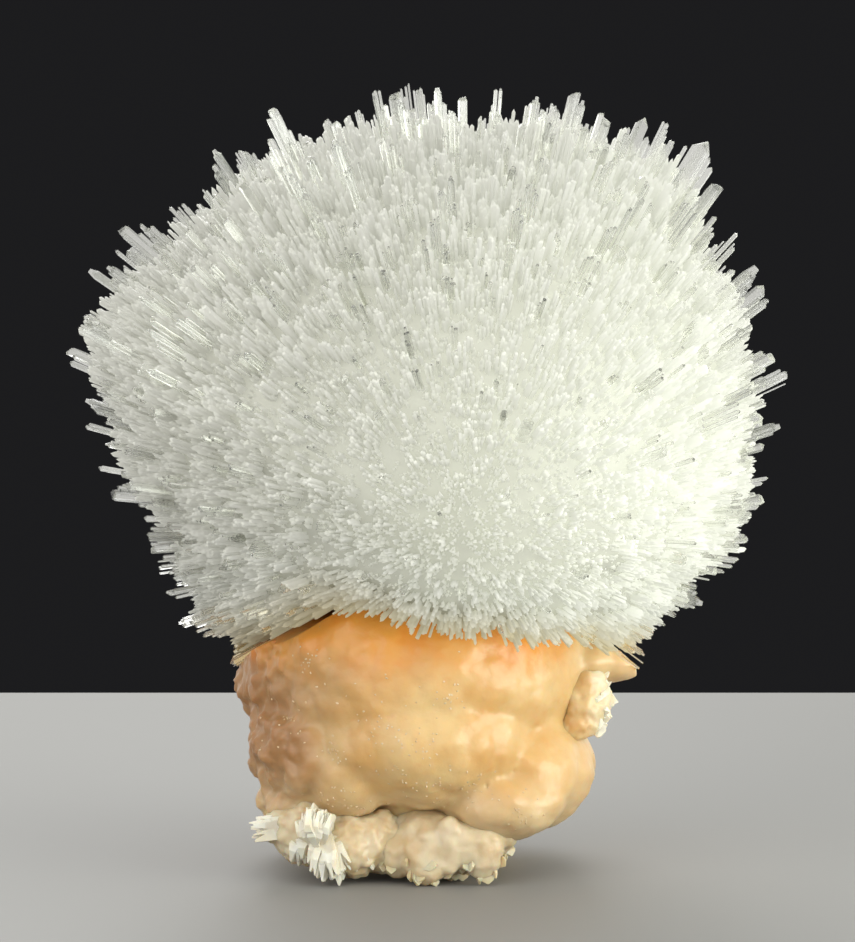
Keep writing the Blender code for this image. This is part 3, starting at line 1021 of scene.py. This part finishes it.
# %% Pale lobes
FOOT_LUMPS = (
    ((3.6, -13.8, 4.6), (7.0, 7.4, 4.8)),
    ((9.4, -12.4, 5.6), (4.6, 7.0, 4.2)),
    ((7.0, -18.2, 5.0), (4.6, 3.2, 3.4)),
    ((-0.8, -17.4, 3.6), (2.6, 2.0, 3.2)),
    ((2.6, -19.3, 3.4), (2.8, 2.0, 3.6)),
    ((5.6, -19.9, 5.2), (2.0, 1.7, 3.8)),
    ((9.4, -19.2, 4.2), (2.9, 2.0, 3.7)),
    ((12.1, -16.2, 6.2), (1.8, 2.6, 2.6)),
)
SIDE_LUMPS = (
    ((22.2, -8.0, 21.4), (3.4, 5.0, 4.2)),
    ((21.4, -9.5, 18.8), (2.6, 3.4, 2.3)),
    ((22.4, -7.0, 24.2), (3.0, 4.4, 2.2)),
)


def lobe(name, lumps, voxel, softening, *relief):
    """A skin fused from lumps, then displaced by rows of texture, size, height and middle."""
    skin = fused(name, lumps, voxel, softening)
    for row in relief:
        displace(skin, *row)
    trim(skin, False)
    return skin


foot = lobe(
    "stilbite_pale_foot", FOOT_LUMPS, 0.3, 12,
    ("CLOUDS", 4.0, 1.2), ("VORONOI", 1.7, -0.36, 0.35), ("CLOUDS", 0.6, 0.12),
)
side = lobe(
    "stilbite_pale_side", SIDE_LUMPS, 0.26, 4,
    ("CLOUDS", 3.4, 1.8), ("VORONOI", 1.8, -0.3, 0.35), ("CLOUDS", 0.5, 0.12),
)

# %% [markdown]
# ## Blades
# Where stilbite has room it ends in thin blades with a pointed end. One blade is modelled from a cube: its
# top is extruded twice and drawn in to a point. Copies of it make the white sheaves at the lower left, the
# jagged rims of the pale lobes and the glints on the body.

# %% Model a blade and plant blades
BLADE_END = ((0.16, 0.82, 0.66), (0.20, 0.12, 0.25))  # height, width and thickness of each step


def stilbite_blade():
    """One unit wide, thick and long, with its foot at the origin."""
    select_only()
    bpy.ops.mesh.primitive_cube_add(size=1.0, location=(0.0, 0.0, 0.5))
    bpy.ops.object.transform_apply(location=True, rotation=False, scale=False)
    blade = begin("stilbite blade")
    choose(is_top)
    bpy.ops.transform.translate(value=(0.0, 0.0, -0.36))
    bpy.ops.transform.resize(value=(1.25, 1.25, 1.0))
    for height, width, thickness in BLADE_END:
        extrude_up(height)
        bpy.ops.transform.resize(value=(width, thickness, 1.0))
    choose(is_bottom)
    bpy.ops.transform.resize(value=(0.6, 0.6, 1.0))
    finish_form()
    return blade


BLADE = take_form(stilbite_blade())


def plant_blades(roots, directions, wide_ways, sizes):
    """Blades from their feet, along directions, with their width, thickness and length in sizes."""
    wide = unit(wide_ways - directions * (wide_ways * directions).sum(axis=1, keepdims=True))
    ways = (wide, np.cross(directions, wide), directions)
    corners = BLADE[0]
    lengths = [corners[None, :, axis] * sizes[:, None, axis] for axis in range(3)]
    tones = rng.uniform(0.0, 1.0, len(roots))
    return set_out(BLADE, roots, ways, lengths, corners[:, 2], tones, np.zeros(len(roots)))


# %% [markdown]
# ## White sheaves
# A sheaf is a fan of blades that open from one foot, like a sheaf of wheat. Each fan below has its foot, the
# way it points, its length, its opening and its number of blades, after the sheaves of the solid. On the real
# specimen the fans stand out of one pale mass, so a few fused lumps fill the room between their feet.

# %% White sheaves
BASE_LUMPS = (
    ((-11.0, -14.8, 6.0), (5.4, 4.4, 4.2)),
    ((-6.6, -16.4, 4.6), (4.2, 4.2, 4.4)),
    ((-14.4, -14.0, 6.6), (3.2, 3.2, 2.8)),
    ((-4.6, -17.2, 5.2), (2.4, 2.6, 3.6)),
    ((-2.6, -16.4, 4.8), (2.6, 2.6, 4.2)),
    ((-9.0, -13.6, 9.2), (6.0, 3.6, 3.0)),
)
sheaf_base = fused("stilbite_sheaf_base", BASE_LUMPS, 0.26, 3)
displace(sheaf_base, "CLOUDS", 3.0, 1.4)
displace(sheaf_base, "VORONOI", 1.7, -0.8, 0.35, distance_metric="CHEBYCHEV")
trim(sheaf_base, False)

SHEAVES = (  # foot in mm, direction, length in mm, opening in degrees, blades
    ((-12.5, -14.5, 7.0), (-1.0, 0.0, -0.16), 7.8, 38.0, 12),
    ((-12.0, -16.5, 6.0), (-0.3, -0.3, -1.0), 4.6, 40.0, 9),
    ((-10.6, -19.3, 5.6), (-0.1, -0.30, 0.95), 5.4, 64.0, 18),
    ((-8.8, -17.5, 6.4), (0.0, -0.5, -1.0), 7.4, 62.0, 20),
    ((-5.8, -16.5, 6.0), (0.2, -0.25, -1.0), 5.8, 50.0, 13),
)
SHEAF_FACING = np.array((-0.25, -1.0, 0.1))
LAYER_TILTS = (-12.0, 0.0, 12.0)
planted = []
for foot_place, direction, length, opening, blades in SHEAVES:
    main = np.array(direction) / np.linalg.norm(direction)
    fan_normal = SHEAF_FACING - main * (SHEAF_FACING @ main)
    fan_normal /= np.linalg.norm(fan_normal)
    fan_way = np.cross(fan_normal, main)
    for layer, layer_tilt in enumerate(LAYER_TILTS):
        place = np.linspace(-1.0, 1.0, blades) + rng.normal(0.0, 0.04, blades)
        turn = np.radians(opening * 0.5) * place
        tilt = math.radians(layer_tilt) + rng.normal(0.0, 0.06, blades)
        directions = unit(
            main * (np.cos(turn) * np.cos(tilt))[:, None]
            + fan_way * (np.sin(turn) * np.cos(tilt))[:, None]
            + fan_normal * np.sin(tilt)[:, None]
        )
        shortened = 0.16 * np.abs(place) ** 2 + rng.uniform(0.0, 0.16, blades) + 0.04 * (2 - layer)
        sizes = np.stack((
            rng.uniform(1.8, 3.0, blades), rng.uniform(0.6, 1.2, blades), length * (1.0 - shortened),
        ), axis=1) * MM
        roots = np.array(foot_place) * MM - directions * 0.6 * MM + rng.normal(0.0, 0.25 * MM, (blades, 3))
        planted.append(plant_blades(roots, directions, np.tile(fan_normal, (blades, 1)), sizes))
sheaves = joined("stilbite_white_sheaves", planted)

# %% [markdown]
# ## Jagged rims
# Rows of small blades stand out of the pale lobes. They are planted on the skin: corners of the skin in the
# right place are picked by chance, and a blade grows out of each along the skin's own normal, bent towards
# one common way. Most of each blade is sunk, so that only its point shows.

# %% Blades on the skins
SUNK = 0.66


def normals_of(skin):
    return np.array([vertex.normal for vertex in skin.data.vertices])


def rim_blades(name, skin, test, count, way, bend, sizes):
    """Blades on the corners of a skin that pass a test of their places and normals."""
    places = places_of(skin)
    normals = normals_of(skin)
    fitting = np.flatnonzero(test(places / MM, normals))
    chosen = rng.choice(fitting, min(count, len(fitting)), replace=False)
    directions = unit(normals[chosen] + np.array(way) * bend + rng.normal(0.0, 0.22, (len(chosen), 3)))
    low, high = np.array(sizes).T
    spans = rng.uniform(low, high, (len(chosen), 3)) * MM
    roots = places[chosen] - directions * spans[:, 2:3] * SUNK
    return joined(name, [plant_blades(roots, directions, rng.normal(0.0, 1.0, (len(chosen), 3)), spans)])


foot_rim = rim_blades(
    "stilbite_foot_blades", foot,
    lambda at, normal: (at[:, 2] < 3.2) & (at[:, 2] > 0.4) & (normal[:, 1] < 0.1),
    40, (0.2, -0.3, -1.0), 1.4, ((0.8, 1.5), (0.25, 0.5), (1.4, 2.4)),
)
side_rim = rim_blades(
    "stilbite_side_blades", side,
    lambda at, normal: (normal[:, 0] > 0.6) & (at[:, 2] > 17.0),
    26, (1.0, -0.3, 0.1), 1.0, ((1.0, 1.8), (0.35, 0.7), (1.3, 2.2)),
)

# %% [markdown]
# ## Glints
# In bands left of the middle and near the foot the real body sparkles with tiny crystal faces. A material
# could fake them with bright specks, but only a real facet flashes as the light moves. Small blades are laid
# nearly flat on the skin, in clusters round chosen places on the front and round chance places elsewhere.

# %% Glints
GLINT_SPOTS = (  # x and z on the front, in mm
    (-11.5, 27.5), (-3.2, 21.0), (1.6, 18.4), (3.4, 13.0), (-8.0, 17.0), (-7.8, 11.4), (-4.4, 8.4),
    (-14.0, 20.0), (9.0, 12.0), (14.0, 9.0), (5.0, 24.0), (-1.0, 15.0),
)
GLINTS_EACH = 22
GLINT_SPREAD = 0.9
BACK_CLUSTERS = 14
GLINT_SIZES = ((0.07, 0.14, 0.16), (0.15, 0.24, 0.42))  # least and most, in mm

places = places_of(mass)
normals = normals_of(mass)
standing = places[:, 2] > 2.0 * MM
in_front = np.flatnonzero((normals[:, 1] < -0.3) & standing)
round_about = np.flatnonzero((normals[:, 1] > -0.3) & (np.abs(normals[:, 2]) < 0.8) & standing)


def cluster(corners, away):
    """Corners of the skin picked by chance, the more of them the less far away in mm they are."""
    near = corners[rng.exponential(GLINT_SPREAD, len(corners)) > away]
    return rng.choice(near, min(GLINTS_EACH, len(near)), replace=False)


picked = []
for x, z in GLINT_SPOTS:
    away = np.hypot(places[in_front, 0] / MM - x, places[in_front, 2] / MM - z)
    picked.append(cluster(in_front, away))
for middle in rng.choice(round_about, BACK_CLUSTERS):
    away = np.linalg.norm(places[round_about] - places[middle], axis=1) / MM
    picked.append(cluster(round_about, away))
picked = np.concatenate(picked)
outward = unit(normals[picked] + rng.normal(0.0, 0.3, (len(picked), 3)))
along = unit(np.cross(outward, rng.normal(0.0, 1.0, (len(picked), 3))))
spans = rng.uniform(*GLINT_SIZES, (len(picked), 3)) * MM
roots = places[picked] - along * spans[:, 2:3] * 0.5
glints = joined("stilbite_glints", [plant_blades(roots, along, outward, spans)])

# %% [markdown]
# ## Finishes of the stilbite
# The body is waxy: light goes a little way in, so its shadows are soft and warm. Cloudy patches and a sugary
# grain break up every colour. Patches and grain are needed by all stilbite finishes, so they are one group.

# %% Shader group of the stilbite
PATCH_EDGE = (0.36, 0.66)


def cloudy_stone():
    """Two colours in cloudy patches, and the height of a sugary grain."""
    group, given, result = add_group(
        "cloudy stone",
        (("Colour", "Color", (1.0, 1.0, 1.0, 1.0)), ("Patches", "Color", (1.0, 1.0, 1.0, 1.0)),
         ("Patch Scale", "Float", 150.0), ("Grain Scale", "Float", 1600.0)),
        (("Colour", "Color"), ("Height", "Float")),
    )
    place = add_node(group, "TexCoord").outputs["Object"]
    cloud = add_node(group, "TexNoise", {"Vector": place, "Scale": given["Patch Scale"], "Detail": 5.0})
    patch = eased_between(group, cloud.outputs["Fac"], *PATCH_EDGE)
    group.links.new(mix_colours(group, patch, given["Colour"], given["Patches"]), result["Colour"])
    grain = add_node(group, "TexNoise", {"Vector": place, "Scale": given["Grain Scale"], "Detail": 3.0})
    group.links.new(grain.outputs["Fac"], result["Height"])
    return group


CLOUDY_STONE = cloudy_stone()

# %% [markdown]
# ## Zones of colour
# The body is peach, but it changes from place to place, and never along a straight line. A zone mixes two
# colours along one axis, and a cloudy noise moves its border to and fro. Zones are laid over one another:
# brown to peach from the left, a paler foot, a saturated orange under the needles, and the pale flange at the
# right. The orange is a painted glow: it stands for light that passes through the waxy stone in the shade of
# the needles.

# %% Zones
BORDER_WANDER = 10.0 * MM
BORDER_SCALE = 140.0


def zone(tree, axis, start, end, first, second):
    """Mixes two colours along one axis, between two places, with a cloudy border."""
    place = add_node(tree, "TexCoord").outputs["Object"]
    wander = add_node(tree, "TexNoise", {"Vector": place, "Scale": BORDER_SCALE, "Detail": 3.0})
    along = add_node(tree, "SeparateXYZ", {0: place}).outputs[axis]
    moved = add_node(
        tree, "Math", {0: wander.outputs["Fac"], 1: BORDER_WANDER, 2: along}, operation="MULTIPLY_ADD"
    )
    past = eased_between(tree, moved.outputs[0], start + BORDER_WANDER / 2.0, end + BORDER_WANDER / 2.0)
    colours = [(*colour, 1.0) if isinstance(colour, tuple) else colour for colour in (first, second)]
    return mix_colours(tree, past, *colours)


def body_zones(left, right, low, painted_glow, flange):
    """Makes the zones of the body, from the colours at its left, right, foot and flange, and the glow painted
    at its top in the shade under the needles.
    """
    def made(tree):
        sideways = zone(tree, "X", -17.0 * MM, -3.0 * MM, left, right)
        upwards = zone(tree, "Z", 5.0 * MM, 15.0 * MM, low, sideways)
        # Painted light: a saturated orange under the needles, for light glowing through the stone in their
        # shade.
        glow_painted = zone(tree, "Z", 24.0 * MM, 32.0 * MM, upwards, painted_glow)
        return zone(tree, "X", 18.0 * MM, 23.0 * MM, glow_painted, flange)
    return made


def side_colour(tree):
    return zone(tree, "X", 22.0 * MM, 25.5 * MM, (0.66, 0.42, 0.18), (0.78, 0.68, 0.50))


# %% Stilbite finishes
GRAIN_HEIGHT = 0.06 * MM
GRAIN_STRENGTH = 0.6
SCATTER_DEPTH = 2.2 * MM
SCATTER_COLOUR = (1.0, 0.45, 0.2)


def stone_finish(name, colour, patches, patch_scale, roughness, scatter):
    """A waxy stone whose colour and patches are plain colours or made by zones."""
    finish = plain_material(name, (0.9, 0.8, 0.7), roughness)
    tree = finish.node_tree
    colours = [made(tree) if callable(made) else (*made, 1.0) for made in (colour, patches)]
    stone = add_node(tree, "Group", {
        "Colour": colours[0], "Patches": colours[1], "Patch Scale": patch_scale,
    }, node_tree=CLOUDY_STONE)
    bump = add_node(tree, "Bump", {
        "Strength": GRAIN_STRENGTH, "Distance": GRAIN_HEIGHT, "Height": stone.outputs["Height"],
    })
    shader = tree.nodes["Principled BSDF"]
    tree.links.new(stone.outputs["Colour"], shader.inputs["Base Color"])
    tree.links.new(bump.outputs[0], shader.inputs["Normal"])
    shader.inputs["Subsurface Weight"].default_value = scatter
    shader.inputs["Subsurface Radius"].default_value = SCATTER_COLOUR
    shader.inputs["Subsurface Scale"].default_value = SCATTER_DEPTH
    return finish


# The fourth colour of each is the painted orange glow in the shade under the needles.
body_colour = body_zones(
    (0.35, 0.175, 0.065), (0.65, 0.385, 0.14), (0.62, 0.45, 0.25), (0.72, 0.24, 0.02), (0.66, 0.42, 0.18)
)
body_patches = body_zones(
    (0.42, 0.24, 0.11), (0.70, 0.49, 0.23), (0.70, 0.55, 0.34), (0.74, 0.33, 0.055), (0.70, 0.50, 0.26)
)
peach = stone_finish("peach stilbite", body_colour, body_patches, 130.0, 0.34, 0.5)
cream = stone_finish("cream stilbite", (0.60, 0.45, 0.26), (0.68, 0.57, 0.39), 260.0, 0.38, 0.5)
pale = stone_finish("pale peach stilbite", side_colour, (0.70, 0.55, 0.31), 260.0, 0.36, 0.5)
white = stone_finish("white stilbite", (0.87, 0.77, 0.59), (0.93, 0.88, 0.74), 400.0, 0.24, 0.25)
glassy = stone_finish("glassy stilbite", (0.66, 0.48, 0.28), (0.72, 0.58, 0.38), 400.0, 0.06, 0.0)
for one, finish, slot, node in (
    (mass, peach, "peach_stilbite", "stilbite_mass"),
    (glints, glassy, "peach_stilbite", "stilbite_mass"),
    (foot, cream, "cream_stilbite", "stilbite_foot_lobe"),
    (foot_rim, cream, "cream_stilbite", "stilbite_foot_lobe"),
    (side, pale, "cream_stilbite", "stilbite_side_lobe"),
    (side_rim, white, "cream_stilbite", "stilbite_side_lobe"),
    (sheaves, white, "white_stilbite", "stilbite_sheaves"),
    (sheaf_base, cream, "white_stilbite", "stilbite_sheaves"),
):
    one.data.materials.append(finish)
    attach(one, "root")
    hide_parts(node)
print("finishes", sorted(finish.name for finish in bpy.data.materials))
